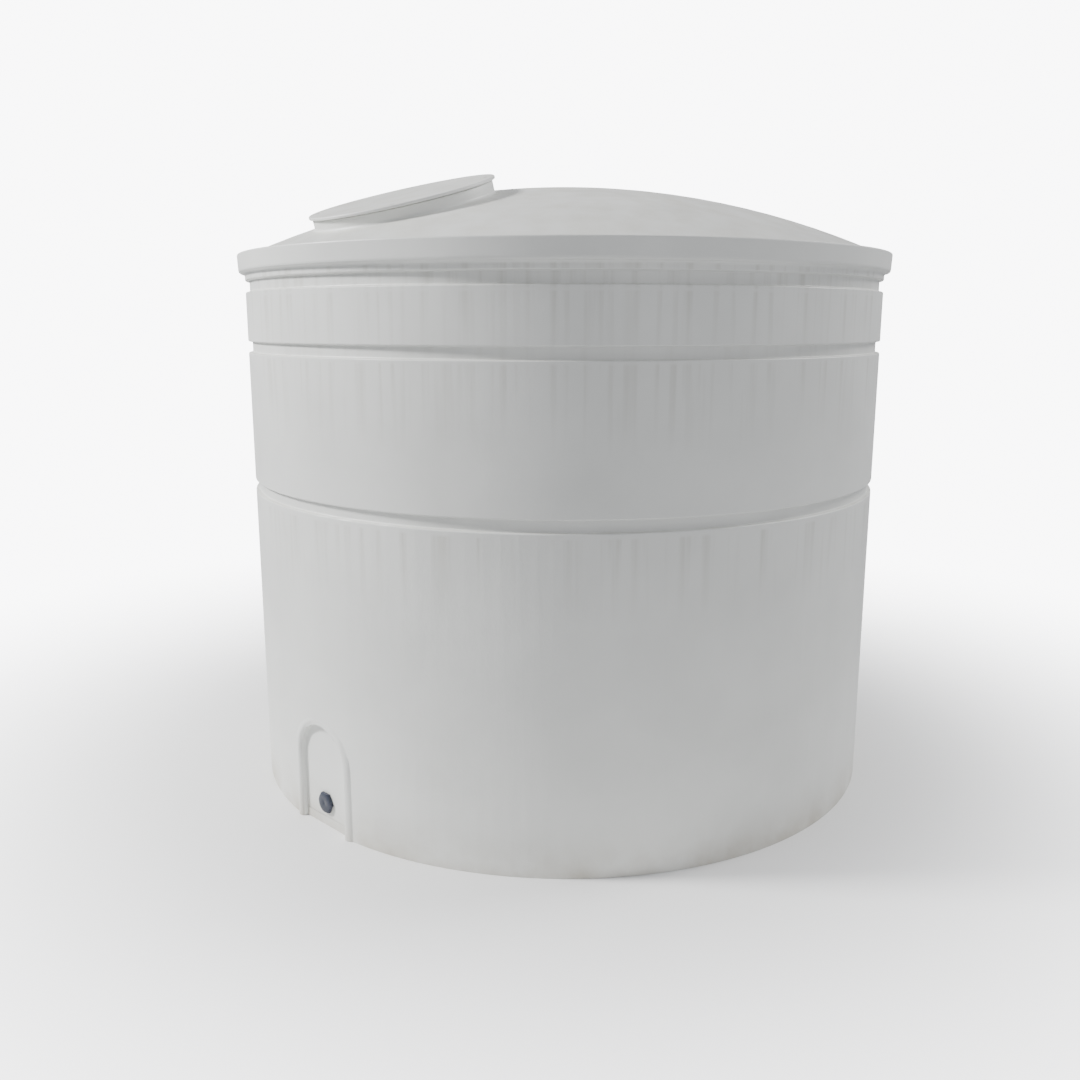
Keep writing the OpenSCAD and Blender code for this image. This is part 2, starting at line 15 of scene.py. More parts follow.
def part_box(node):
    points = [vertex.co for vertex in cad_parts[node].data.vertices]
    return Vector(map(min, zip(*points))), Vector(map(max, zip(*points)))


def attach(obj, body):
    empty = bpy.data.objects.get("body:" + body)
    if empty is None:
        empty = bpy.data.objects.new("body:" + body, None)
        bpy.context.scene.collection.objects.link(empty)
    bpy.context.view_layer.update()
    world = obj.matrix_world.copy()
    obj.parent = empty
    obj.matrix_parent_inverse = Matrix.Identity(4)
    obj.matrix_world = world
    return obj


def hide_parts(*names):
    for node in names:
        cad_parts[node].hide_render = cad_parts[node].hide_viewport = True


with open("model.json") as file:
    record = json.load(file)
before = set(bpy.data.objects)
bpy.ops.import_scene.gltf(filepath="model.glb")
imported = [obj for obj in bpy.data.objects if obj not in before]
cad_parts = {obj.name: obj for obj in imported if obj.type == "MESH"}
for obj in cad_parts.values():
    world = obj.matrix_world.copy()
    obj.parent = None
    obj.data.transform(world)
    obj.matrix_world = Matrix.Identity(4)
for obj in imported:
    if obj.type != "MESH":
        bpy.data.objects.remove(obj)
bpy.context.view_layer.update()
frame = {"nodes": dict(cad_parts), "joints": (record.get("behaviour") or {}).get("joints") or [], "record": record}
nodes = frame["nodes"]
mm = 0.001
wall_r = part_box("tank_wall")[1].x

# %% [markdown]
# ## Camera
# A 35 mm lens stands a little over three wall radii from the tank, with the outlet recess well to the
# left. It is made first.

# %% Camera
camera_azimuth = math.radians(43.49)
camera_turn = math.radians(1.197)
camera_pitch = math.radians(11.682)
camera_distance = 3.528 * wall_r
camera_height = 1.434 * wall_r
bpy.ops.object.camera_add(
    location=(
        camera_distance * math.sin(camera_azimuth),
        -camera_distance * math.cos(camera_azimuth),
        camera_height,
    ),
    rotation=(math.radians(90) - camera_pitch, 0, camera_azimuth + camera_turn),
)
camera = bpy.context.object
camera.data.lens = 35
camera.data.sensor_width = 36
camera.data.clip_end = 200
bpy.context.scene.camera = camera
print("camera at", [round(c, 3) for c in camera.location])

# %% [markdown]
# ## Measuring
# Nothing is placed by eye. A part that leans, such as the manhole, is measured in a frame of its own,
# whose z axis points out of the tank: there its box and its radii are as easy to read as on a lathe.

# %% Frames to measure and build in
mounts = {mount["name"]: mount for mount in frame["record"]["mounts"]}
joints = {joint["name"]: joint for joint in frame["joints"]}


def stand(place, out, along=(0, 0, 1)):
    """A frame at a place, with z pointing out and x as near as it can to the direction along."""
    z = Vector(out).normalized()
    x = (Vector(along) - z * Vector(along).dot(z)).normalized()
    return Matrix.Translation(place) @ Matrix((x, z.cross(x), z)).transposed().to_4x4()


def places_in(axes, node):
    back = axes.inverted()
    return [back @ vertex.co / mm for vertex in nodes[node].data.vertices]


def box_in(axes, node):
    """Lowest and highest corner of a CAD node along a frame's own axes, in millimetres."""
    spans = list(zip(*places_in(axes, node)))
    return Vector(map(min, spans)), Vector(map(max, spans))


def radii_in(axes, node, low, high):
    """Smallest and largest radius round the frame's z of a node's points between two heights."""
    radii = [math.hypot(p.x, p.y) for p in places_in(axes, node) if low <= p.z <= high]
    return min(radii), max(radii)


def on_wall(mount):
    """The frame of a fitting, on the outside of the wall."""
    out = Vector(mount["axis"])
    return stand(Vector((out.x * wall_r, out.y * wall_r, mount["pos_m"][2])), out)


outlet = stand(mounts["outlet_port"]["pos_m"], mounts["outlet_port"]["axis"])
overflow = on_wall(mounts["overflow_spigot"])
valve = on_wall(mounts["inlet_tail"])
lid_axis = joints["lid_lift"]["axis"]
leaning = stand((0, 0, 0), lid_axis, (1, 0, 0))
low, high = box_in(leaning, "manhole_lid")
lid_centre = Vector(((low.x + high.x) / 2, (low.y + high.y) / 2, high.z)) * mm
manhole = stand(leaning @ lid_centre, lid_axis, (1, 0, 0))
pivot = Vector(joints["float_swing"]["pos_m"])
ball_low, ball_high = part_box("float_ball")
arm = stand(pivot, (ball_low + ball_high) / 2 - pivot, joints["float_swing"]["axis"])
arm_reach = ((ball_low + ball_high) / 2 - pivot).length
print("lid centre", [round(c, 4) for c in manhole.translation], "arm", round(arm_reach, 4))

# %% [markdown]
# ## Building blocks for finishes
# Every finish starts as a Principled shader that reads the piece's own Object coordinates, in metres,
# so a pattern keeps its real size and moves with its piece. A colour is written as the hex value that a
# colour card gives and turned linear once, here.

# %% Colours and shader nodes
RAMP_END = 1.0


def linear(hex_colour):
    channels = [int(hex_colour[i:i + 2], 16) / 255 for i in (1, 3, 5)]
    return (*[c / 12.92 if c <= 0.04045 else ((c + 0.055) / 1.055) ** 2.4 for c in channels], 1)


def add(material, kind, settings, links=()):
    """Adds a node, sets its properties or sockets by name or number, and links sources into sockets."""
    node = material.node_tree.nodes.new(kind)
    for key, value in settings.items():
        if isinstance(key, str) and hasattr(node, key):
            setattr(node, key, value)
    for key, value in settings.items():
        if not (isinstance(key, str) and hasattr(node, key)):
            node.inputs[key].default_value = value
    for key, source in dict(links).items():
        material.node_tree.links.new(source, node.inputs[key])
    return node


def set_ramp(node, stops):
    """Gives a colour ramp its (place, colour) stops; a plain number is a grey."""
    ramp = node.color_ramp
    while len(ramp.elements) < len(stops):
        ramp.elements.new(RAMP_END)
    for element, (place, colour) in zip(ramp.elements, stops):
        element.position = place
        element.color = colour if hasattr(colour, "__len__") else (colour, colour, colour, 1)
    return node.outputs["Color"]


def new_finish(name, roughness, ior=1.5, metallic=0.0):
    material = bpy.data.materials.new(name)
    material.use_nodes = True
    shader = material.node_tree.nodes["Principled BSDF"]
    shader.inputs["Roughness"].default_value = roughness
    shader.inputs["Metallic"].default_value = metallic
    shader.inputs["IOR"].default_value = ior
    place = add(material, "ShaderNodeTexCoord", {}).outputs["Object"]
    return material, shader, place

# %% [markdown]
# ## Rotomoulded polyethylene
# The shell is made by turning powder in a hot mould until it melts on to the wall. It could be a plain
# white plastic, but the real surface is never even: it is satin with a faint orange peel, it swells a
# little with the weight of the water, rain carries dust down it from every ledge, and soil splashes up
# its foot. Each of these is one noise pattern at its real size, mixed in lightly. The peel, about 3 mm
# on the real wall, is drawn at 9 mm because it would be too fine to show.

# %% Rotomoulded polyethylene
MIX_A, MIX_B, MIX_OUT = 6, 7, 2
shelf_z = max(p.z for p in places_in(Matrix(), "tank_eave"))
dome_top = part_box("tank_dome")[1].z / mm


def per_metre(size):
    """Noise scale for a pattern whose cells are this many millimetres across."""
    return 1 / (size * mm)


def blotches(material, place, size, stops, detail=3.0, stretch=(1, 1, 1)):
    """A noise pattern of cells this many millimetres across, put through a ramp."""
    mapped = add(material, "ShaderNodeMapping", {"Scale": stretch}, {"Vector": place}).outputs[0]
    settings = {"Scale": per_metre(size), "Detail": detail}
    noise = add(material, "ShaderNodeTexNoise", settings, {"Vector": mapped})
    ramp = add(material, "ShaderNodeValToRGB", {}, {"Fac": noise.outputs[0]})
    return set_ramp(ramp, stops)


def tint(material, colour, hex_colour, factor):
    """Mixes a colour in where the factor says."""
    settings = {"data_type": "RGBA", MIX_B: linear(hex_colour)}
    return add(material, "ShaderNodeMix", settings, {0: factor, MIX_A: colour}).outputs[MIX_OUT]


def times(material, a, b):
    """Product of a pattern and another pattern, or a number."""
    if isinstance(b, (int, float)):
        return add(material, "ShaderNodeMath", {"operation": "MULTIPLY", 1: b}, {0: a}).outputs[0]
    return add(material, "ShaderNodeMath", {"operation": "MULTIPLY"}, {0: a, 1: b}).outputs[0]


def relief(material, place, layers):
    """Stacks bumps given as (cell size, height) in millimetres, the coarsest first."""
    normal = None
    for size, height in layers:
        settings = {"Scale": per_metre(size), "Detail": 2.0}
        noise = add(material, "ShaderNodeTexNoise", settings, {"Vector": place})
        links = {"Height": noise.outputs[0]}
        if normal:
            links["Normal"] = normal
        normal = add(material, "ShaderNodeBump", {"Strength": 1.0, "Distance": height * mm}, links).outputs[0]
    return normal


def ledge_mask(material, height, ledges, run):
    """A mask over height that is 1 just under each ledge and fades out below it; all in millimetres."""
    stops = [(0.0, 0.0)]
    for ledge in ledges:
        stops += [((ledge - run) / dome_top, 0.0), (ledge / dome_top, 1.0), ((ledge + 2) / dome_top, 0.0)]
    settings = {"From Min": 0.0, "From Max": dome_top * mm}
    share = add(material, "ShaderNodeMapRange", settings, {"Value": height})
    return set_ramp(add(material, "ShaderNodeValToRGB", {}, {"Fac": share.outputs[0]}), stops)


def rotomoulded(name, light, shade, ledges, soil_h):
    material, shader, place = new_finish(name, 0.42, ior=1.51)
    link = material.node_tree.links.new
    height = add(material, "ShaderNodeSeparateXYZ", {}, {0: place}).outputs["Z"]
    normal = place.node.outputs["Normal"]
    facing = add(material, "ShaderNodeSeparateXYZ", {}, {0: normal}).outputs["Z"]
    colour = blotches(material, place, 260, [(0.3, linear(shade)), (0.7, linear(light))])
    outward = add(material, "ShaderNodeVectorMath", {"operation": "DOT_PRODUCT"}, {0: place, 1: normal})
    outside = {"From Min": 0.0, "From Max": 0.3}
    outside = add(material, "ShaderNodeMapRange", outside, {"Value": outward.outputs["Value"]}).outputs[0]
    if ledges:
        drips = blotches(material, place, 26, [(0.5, 0.0), (0.72, 1.0)], stretch=(1, 1, 0.04))
        drips = times(material, times(material, drips, outside), ledge_mask(material, height, ledges, 210))
        colour = tint(material, colour, "#A5A294", times(material, drips, 0.34))
    dust = {"From Min": 0.6, "From Max": 0.97}
    dust = add(material, "ShaderNodeMapRange", dust, {"Value": facing}).outputs[0]
    dust = times(material, dust, blotches(material, place, 70, [(0.35, 0.1), (0.75, 1.0)], detail=6.0))
    colour = tint(material, colour, "#BDB9A8", times(material, dust, 0.42))
    if soil_h:
        soil = {"From Min": soil_h * mm, "From Max": 0.0}
        soil = add(material, "ShaderNodeMapRange", soil, {"Value": height}).outputs[0]
        splash = blotches(material, place, 110, [(0.3, 0.15), (0.7, 1.0)], detail=9.0)
        soil = times(material, times(material, times(material, soil, soil), splash), outside)
        colour = tint(material, colour, "#9B8F78", times(material, soil, 0.62))
    link(colour, shader.inputs["Base Color"])
    sheen = blotches(material, place, 120, [(0.3, 0.36), (0.7, 0.5)], detail=4.0)
    link(sheen, shader.inputs["Roughness"])
    link(relief(material, place, [(260, 3.0), (9, 0.3)]), shader.inputs["Normal"])
    return material


GROOVE_DEPTH = 12.0
DRIP_DROP = 5.0
groove_floor_r = wall_r / mm - GROOVE_DEPTH
groove_points = sorted(
    p.z for p in places_in(Matrix(), "tank_wall")
    if abs(math.hypot(p.x, p.y) - groove_floor_r) < 0.3 and p.z > shelf_z / 3)
groove_feet = [z for before, z in zip([0, *groove_points], groove_points) if z - before > 60]
eave_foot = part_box("tank_eave")[0].z / mm
ledges = [*[z - DRIP_DROP for z in groove_feet], eave_foot]
finishes = {
    "tank_polyethylene": rotomoulded("rotomoulded_polyethylene", "#E6E7E3", "#DDDEDA", ledges, 170),
    "lid_polyethylene": rotomoulded("rotomoulded_lid_polyethylene", "#E4E5E2", "#DADBD8", [], 0),
}
print("ledges at", [round(z) for z in ledges], "mm")
print("shelf at", round(shelf_z), "mm, dome top at", round(dome_top), "mm")

# %% [markdown]
# ## Injection-moulded plastics
# The plug is polypropylene, nearly black with a blue cast, and the overflow is grey rigid PVC. Both are
# pressed into steel moulds, so they are smoother than the tank and a little glossier. The melt leaves
# faint flow marks, and handling dulls the gloss in patches. The float is blown polyethylene: the
# glossiest of them, with a chalky scale below the line it floats at.

# %% Injection-moulded plastics
def injection_moulded(name, light, shade, ior, gloss, grain):
    material, shader, place = new_finish(name, gloss, ior=ior)
    link = material.node_tree.links.new
    flow = blotches(material, place, 40, [(0.3, linear(shade)), (0.7, linear(light))], stretch=(1, 1, 0.3))
    scuffs = blotches(material, place, 2.5, [(0.5, 0.0), (0.9, 1.0)], detail=9.0, stretch=(1, 1, 0.4))
    colour = tint(material, flow, "#9A9A98", times(material, scuffs, 0.14))
    link(colour, shader.inputs["Base Color"])
    stops = [(0.3, gloss - 0.05), (0.7, gloss + 0.12)]
    link(blotches(material, place, 14, stops), shader.inputs["Roughness"])
    link(relief(material, place, [(60, 0.25), (grain, 0.03)]), shader.inputs["Normal"])
    return material, shader, place, colour


finishes["plug_polypropylene"] = injection_moulded(
    "moulded_polypropylene", "#232A3F", "#191F30", 1.49, 0.36, 2)[0]
finishes["fitting_pvc"] = injection_moulded("moulded_rigid_pvc", "#7B8087", "#6C7178", 1.53, 0.34, 2)[0]

float_finish, float_shader, float_place, float_colour = injection_moulded(
    "blown_float_polyethylene", "#2A66B4", "#1E549E", 1.51, 0.24, 3)
ball_middle = (ball_low.z + ball_high.z) / 2
float_height = add(float_finish, "ShaderNodeSeparateXYZ", {}, {0: float_place}).outputs["Z"]
wet = {"From Min": ball_middle, "From Max": ball_middle - 25 * mm}
wet = add(float_finish, "ShaderNodeMapRange", wet, {"Value": float_height}).outputs[0]
scale_marks = blotches(float_finish, float_place, 9, [(0.4, 0.0), (0.65, 1.0)], detail=7.0)
float_colour = tint(
    float_finish, float_colour, "#B9C3C6", times(float_finish, times(float_finish, wet, scale_marks), 0.28))
float_finish.node_tree.links.new(float_colour, float_shader.inputs["Base Color"])
finishes["float_polyethylene"] = float_finish

# %% [markdown]
# ## Brass, stainless steel and rubber
# The valve is cast and turned brass that has dulled to a brown gold, with brighter metal where it is
# rubbed. The screws, pin and screen are stainless steel with the fine lines of drawn wire and bar. The
# seals are moulded EPDM rubber, matt, with a greyish bloom. Cast grain, really about 0.4 mm, and drawing
# lines, about 0.1 mm, are drawn coarser so that they show.

# %% Brass, stainless steel and rubber
def metal(name, bright, dull, rough, patch, stretch, grain):
    material, shader, place = new_finish(name, rough, metallic=1.0)
    link = material.node_tree.links.new
    stops = [(0.32, linear(dull)), (0.68, linear(bright))]
    link(blotches(material, place, patch, stops, detail=6.0, stretch=stretch), shader.inputs["Base Color"])
    stops = [(0.3, rough - 0.07), (0.7, rough + 0.12)]
    link(blotches(material, place, patch / 2, stops, stretch=stretch), shader.inputs["Roughness"])
    link(relief(material, place, [grain]), shader.inputs["Normal"])
    return material


def rubber(name, light, shade):
    material, shader, place = new_finish(name, 0.7, ior=1.52)
    link = material.node_tree.links.new
    colour = blotches(material, place, 12, [(0.35, linear(shade)), (0.7, linear(light))], detail=6.0)
    bloom = blotches(material, place, 30, [(0.5, 0.0), (0.8, 1.0)])
    link(tint(material, colour, "#6B6B68", times(material, bloom, 0.3)), shader.inputs["Base Color"])
    link(blotches(material, place, 8, [(0.3, 0.6), (0.7, 0.82)]), shader.inputs["Roughness"])
    link(relief(material, place, [(2, 0.06)]), shader.inputs["Normal"])
    return material


finishes["brass"] = metal("dulled_cast_brass", "#C39B58", "#8D6E3F", 0.36, 9, (1, 1, 1), (1.5, 0.05))
finishes["stainless"] = metal(
    "drawn_stainless_steel", "#CDCFD0", "#AEB1B4", 0.26, 6, (1, 1, 0.1), (1.2, 0.02))
finishes["epdm"] = rubber("moulded_epdm_rubber", "#2A2A2B", "#19191A")

for subpart in frame["record"]["subparts"]:
    for slot in nodes[subpart["node"]].material_slots:
        slot.material = finishes[subpart["material_slot"]]
print(len(finishes), "finishes on", len(nodes), "nodes")

# %% [markdown]
# ## Floor and light
# The tank is nearly white, so it shows best against a backdrop that is whiter still. A bright dome
# behind everything is seen by the camera but casts no light, and the pale floor thins out into it, so
# no horizon shows. One strong soft light from the front left models the wall and cuts into the grooves;
# two weaker ones and a dim even sky keep the shadows open.

# %% Backdrop and floor
BACKDROP_STRENGTH = 9.0
BACKDROP_R = 70.0
bpy.ops.object.select_all(action="DESELECT")
bpy.ops.mesh.primitive_uv_sphere_add(segments=64, ring_count=32, radius=BACKDROP_R)
backdrop = bpy.context.object
backdrop.name = "studio_backdrop"
backdrop_finish = bpy.data.materials.new("studio_white")
backdrop_finish.use_nodes = True
glow = {"Color": linear("#FDFDFF"), "Strength": BACKDROP_STRENGTH}
glow = add(backdrop_finish, "ShaderNodeEmission", glow)
backdrop_finish.node_tree.links.new(
    glow.outputs[0], backdrop_finish.node_tree.nodes["Material Output"].inputs["Surface"])
backdrop.data.materials.append(backdrop_finish)
backdrop.visible_diffuse = False
backdrop.visible_glossy = False
backdrop.visible_transmission = False
backdrop.visible_shadow = False

bpy.ops.object.select_all(action="DESELECT")
bpy.ops.mesh.primitive_circle_add(vertices=128, radius=8, fill_type="NGON", location=(0, 0, -0.5 * mm))
floor = bpy.context.object
floor.name = "studio_floor"
floor_finish, floor_shader, floor_place = new_finish("pale_studio_floor", 0.85)
floor_shader.inputs["Base Color"].default_value = linear("#F4F4F3")
distance = add(floor_finish, "ShaderNodeVectorMath", {"operation": "LENGTH"}, {0: floor_place})
distance = distance.outputs["Value"]
spread = {
    "interpolation_type": "SMOOTHSTEP", "From Min": 0.9, "From Max": 3.4, "To Min": 1.0, "To Max": 0.0}
spread = add(floor_finish, "ShaderNodeMapRange", spread, {"Value": distance}).outputs[0]
floor_finish.node_tree.links.new(spread, floor_shader.inputs["Alpha"])
floor.data.materials.append(floor_finish)

# %% Lights and sky
def soft_light(name, place, size, watts):
    bpy.ops.object.light_add(type="AREA", location=place)
    light = bpy.context.object
    light.name = name
    light.data.shape = "DISK"
    light.data.size = size
    light.data.energy = watts
    light.rotation_euler = (Vector((0, 0, 0.9)) - Vector(place)).to_track_quat("-Z", "Y").to_euler()


soft_light("key_light", (-3.6, -4.6, 4.6), 1.3, 800)
soft_light("fill_light", (5.4, -2.2, 2.2), 2.6, 30)
soft_light("back_light", (2.6, 4.2, 4.8), 2.4, 260)
world = bpy.data.worlds.new("studio_sky")
world.use_nodes = True
bpy.context.scene.world = world
sky = world.node_tree.nodes["Background"]
sky.inputs["Color"].default_value = linear("#F6F8FF")
sky.inputs["Strength"].default_value = 0.48

# %% [markdown]
# ## Tools for modelling
# Nearly every fitting here was turned on a lathe or pressed in a round mould, so most pieces are an
# outline spun round an axis. They could be cylinders with bevels, but an outline keeps each shoulder,
# chamfer and rounding where a drawing would give it. Sizes are in millimetres until the piece is made.
# Two pieces are joined or cut with a Boolean modifier, and edges that the outline can't reach, such as
# the rim of a drilled hole, get a Bevel modifier.

# %% Outlines
def rounded(radius, height, size, start, end, steps=3):
    """Points of an arc of an outline, round a centre, from one angle in degrees to another."""
    turns = [math.radians(start + (end - start) * i / steps) for i in range(steps + 1)]
    return [(radius + size * math.cos(a), height + size * math.sin(a)) for a in turns]


def ring_outline(inner, outer, low, high, edge):
    """A ring's section with all four edges rounded."""
    corners = [
        (outer - edge, low + edge, 270), (outer - edge, high - edge, 0),
        (inner + edge, high - edge, 90), (inner + edge, low + edge, 180)]
    return [point for r, z, start in corners for point in rounded(r, z, edge, start, start + 90)]


def down_thread(radius, high, low, pitch, parts=6):
    """Evenly spaced points down a shank, close enough to carry a thread."""
    count = round((high - low) / pitch * parts)
    return [(radius, high + (low - high) * i / count) for i in range(count + 1)]


# %% Making a turned piece
def choose(piece, *others):
    """Selects a piece and nothing else, apart from the others named, and makes it the active one."""
    bpy.ops.object.select_all(action="DESELECT")
    for chosen in (piece, *others):
        chosen.select_set(True)
    bpy.context.view_layer.objects.active = piece


def turned(name, outline, steps=96, closed=True):
    """Spins an outline of (radius, height) points round z. A closed one ends where it began."""
    places = [Vector((r, 0, z)) * mm for r, z in outline]
    if closed:
        places.append(places[0])
    bpy.ops.object.select_all(action="DESELECT")
    bpy.ops.mesh.primitive_plane_add(size=mm, location=places[0])
    piece = bpy.context.object
    piece.name = name
    bpy.ops.object.mode_set(mode="EDIT")
    bpy.ops.mesh.merge(type="CENTER")
    for here, there in zip(places, places[1:]):
        bpy.ops.mesh.extrude_vertices_move(TRANSFORM_OT_translate={"value": there - here})
    bpy.ops.mesh.select_all(action="SELECT")
    bpy.ops.mesh.spin(steps=steps, angle=math.tau, center=(0, 0, 0), axis=(0, 0, 1))
    bpy.ops.mesh.select_all(action="SELECT")
    bpy.ops.mesh.remove_doubles(threshold=0.004 * mm)
    bpy.ops.mesh.normals_make_consistent(inside=False)
    bpy.ops.object.mode_set(mode="OBJECT")
    bpy.ops.object.transform_apply(location=True, rotation=True, scale=True)
    return piece


def cut_thread(piece, radius, high, low, pitch, depth):
    """Presses a right-hand thread into the shank of that radius between two heights, in millimetres."""
    for vertex in piece.data.vertices:
        x, y, z = vertex.co / mm
        if abs(math.hypot(x, y) - radius) > 0.02 or not low <= z <= high:
            continue
        wave = abs(2 * ((z / pitch - math.atan2(y, x) / math.tau) % 1) - 1)
        run_out = min(1, (high - z) / pitch, (z - low) / pitch)
        share = 1 - depth * wave * run_out / radius
        vertex.co.x *= share
        vertex.co.y *= share


# %% Joining, softening and handing over
def combine(piece, tool, operation):
    """Joins a tool to a piece, cuts it away, or keeps what they share. The tool is used up."""
    choose(piece)
    modifier = piece.modifiers.new("combine", "BOOLEAN")
    modifier.operation = operation
    modifier.solver = "EXACT"
    modifier.object = tool
    bpy.ops.object.modifier_apply(modifier=modifier.name)
    bpy.data.objects.remove(tool)
    return piece


def copy_at(piece, place):
    """A copy with its own mesh, moved in millimetres."""
    copy = piece.copy()
    copy.data = piece.data.copy()
    bpy.context.scene.collection.objects.link(copy)
    copy.data.transform(Matrix.Translation(Vector(place) * mm))
    return copy


def soften(piece, width, angle=40, segments=2):
    choose(piece)
    modifier = piece.modifiers.new("soft edges", "BEVEL")
    modifier.width = width * mm
    modifier.segments = segments
    modifier.limit_method = "ANGLE"
    modifier.angle_limit = math.radians(angle)
    bpy.ops.object.modifier_apply(modifier=modifier.name)
    return piece


def hand_over(piece, axes, slot, body, *replaced, smooth=38):
    """Sets a piece in its frame, finishes it, and lets it ride on its body in place of CAD nodes."""
    choose(piece)
    piece.matrix_world = axes.copy()
    bpy.ops.object.transform_apply(location=True, rotation=True, scale=True)
    bpy.ops.object.shade_smooth_by_angle(angle=math.radians(smooth))
    piece.data.materials.clear()
    piece.data.materials.append(finishes[slot])
    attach(piece, body)
    if replaced:
        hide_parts(*replaced)
    triangles = sum(len(face.vertices) - 2 for face in piece.data.polygons)
    print(piece.name, triangles, "triangles")
    return piece


# %% [markdown]
# ## Moulded shells
# The wall and the dome come from the frame as loose flat triangles, and the light would show the recess
# rim as a row of facets. They could be modelled again, but their shape is already right. Each is
# copied, its points are merged, and its shading is made smooth, with each point's normal taken mostly
# from the largest faces round it, so that flats stay flat and only the roundings are shaded. The eave
# band stays as it is: its ledge inside is shaded unevenly when its long triangles share their normals.

# %% Moulded shells
def smooth_shell(name, node, body):
    """A copy of a CAD shell with its points merged and its curved faces shaded smoothly."""
    shell = bpy.data.objects.new(name, nodes[node].data.copy())
    bpy.context.scene.collection.objects.link(shell)
    choose(shell)
    bpy.ops.object.mode_set(mode="EDIT")
    bpy.ops.mesh.select_all(action="SELECT")
    bpy.ops.mesh.remove_doubles(threshold=0.004 * mm)
    bpy.ops.object.mode_set(mode="OBJECT")
    slot = next(s["material_slot"] for s in frame["record"]["subparts"] if s["node"] == node)
    hand_over(shell, Matrix(), slot, body, node, smooth=20)
    modifier = shell.modifiers.new("even shading", "WEIGHTED_NORMAL")
    modifier.mode = "FACE_AREA_WITH_ANGLE"
    modifier.keep_sharp = True
    bpy.ops.object.modifier_apply(modifier=modifier.name)


smooth_shell("wall_moulding", "tank_wall", "tank")
smooth_shell("dome_moulding", "tank_dome", "tank")

# %% [markdown]
# ## Manhole collar
# The collar grows out of the dome in the same moulding, so it meets the dome in a small fillet and not
# in a sharp line. It could be a plain tube pushed into the dome. Here the tube is spun with a foot of
# six loose rings, and each of their points is then laid on the dome: the fillet is what a ball of that
# size leaves when it rolls round the corner, which has an exact answer on a sphere and a cylinder.

# %% Manhole collar
collar_wall = 8.0
fillet_r = 9.0
foot_rings = 6
foot_mark = -300.0
bedding = 0.4
collar_high = box_in(manhole, "manhole_collar")[1]
collar_r = collar_high.x
collar_top = collar_high.z
bore_r = radii_in(manhole, "manhole_collar", collar_top - 0.1, collar_top)[0]
flange_under = collar_top - collar_wall
inner_r = collar_r - collar_wall
dome_rise = dome_top - shelf_z
dome_r = (radii_in(Matrix(), "tank_dome", shelf_z - 1, dome_top)[1] ** 2 + dome_rise ** 2) / (2 * dome_rise)
dome_centre = manhole.inverted() @ Vector((0, 0, (dome_top - dome_r) * mm)) / mm
print("collar radius", round(collar_r, 2), "bore", round(bore_r, 2), "dome sphere", round(dome_r, 1))


def on_dome(x, y, radius):
    return dome_centre.z + math.sqrt(radius ** 2 - (x - dome_centre.x) ** 2 - (y - dome_centre.y) ** 2)


def foot_place(angle, ring):
    """Where a point of the collar's foot lies: ring 0 inside, then up the fillet from the dome."""
    out = Vector((math.cos(angle), math.sin(angle), 0))
    if ring == 0:
        return out * inner_r + Vector((0, 0, on_dome(*(out * inner_r).xy, dome_r - bedding)))
    ball = out * (collar_r + fillet_r)
    ball.z = on_dome(ball.x, ball.y, dome_r + fillet_r)
    to_dome = (dome_centre - ball).normalized()
    share = (ring - 1) / (foot_rings - 1)
    reach = fillet_r + bedding * (1 - share)
    return ball + (to_dome.lerp(-out, share)).normalized() * reach


collar = turned("collar_moulding", [
    (inner_r, foot_mark),
    *rounded(inner_r - 4, flange_under - 4, 4, 0, 90),
    *rounded(bore_r + 1.5, flange_under + 1.5, 1.5, 270, 180),
    *rounded(bore_r + 2, collar_top - 2, 2, 180, 90),
    *rounded(collar_r - 2.5, collar_top - 2.5, 2.5, 90, 0),
    *[(collar_r + 1, foot_mark - ring) for ring in range(foot_rings, 0, -1)],
], steps=160)
for vertex in collar.data.vertices:
    if vertex.co.z / mm < foot_mark + 0.5:
        ring = round(foot_mark - vertex.co.z / mm)
        vertex.co = foot_place(math.atan2(vertex.co.y, vertex.co.x), ring) * mm

# %% [markdown]
# ## Bosses for the lid screws
# Under the collar's flange the plastic thickens into four round bosses, each moulded round a threaded
# brass insert. They could be modelled one by one, but they are the same boss four times: one boss and
# one hole are turned, copied to where the inserts are, and joined to the collar or cut from it.

# %% Bosses for the lid screws
SCREW_SIDES = ((1, 1), (-1, 1), (-1, -1), (1, -1))
insert_places = places_in(manhole, "collar_inserts")
screw_places = []
for side_x, side_y in SCREW_SIDES:
    group = [p for p in insert_places if p.x * side_x > 0 and p.y * side_y > 0]
    screw_places.append(Vector((
        (min(p.x for p in group) + max(p.x for p in group)) / 2,
        (min(p.y for p in group) + max(p.y for p in group)) / 2, 0)))
insert_low = min(p.z for p in insert_places)
insert_r = max(math.hypot(p.x - screw_places[0].x, p.y - screw_places[0].y)
               for p in insert_places if p.x > 0 and p.y > 0)
boss_r = insert_r + 5.5
boss = turned("boss", [
    (0, insert_low - 2), *rounded(boss_r - 2, insert_low, 2, 270, 360), (boss_r, flange_under + 3),
    (0, flange_under + 3)], steps=32, closed=False)
hole = turned("hole", [
    (0, insert_low), (insert_r, insert_low), (insert_r, collar_top - 0.6), (insert_r + 0.6, collar_top),
    (insert_r + 0.6, collar_top + 2), (0, collar_top + 2)], steps=32, closed=False)
for place in screw_places:
    combine(collar, copy_at(boss, place), "UNION")
for place in screw_places:
    combine(collar, copy_at(hole, place), "DIFFERENCE")
bpy.data.objects.remove(boss)
bpy.data.objects.remove(hole)
hand_over(collar, manhole, "tank_polyethylene", "tank", "manhole_collar")
print("lid screws on a circle of radius", round(screw_places[0].length, 1), "mm")

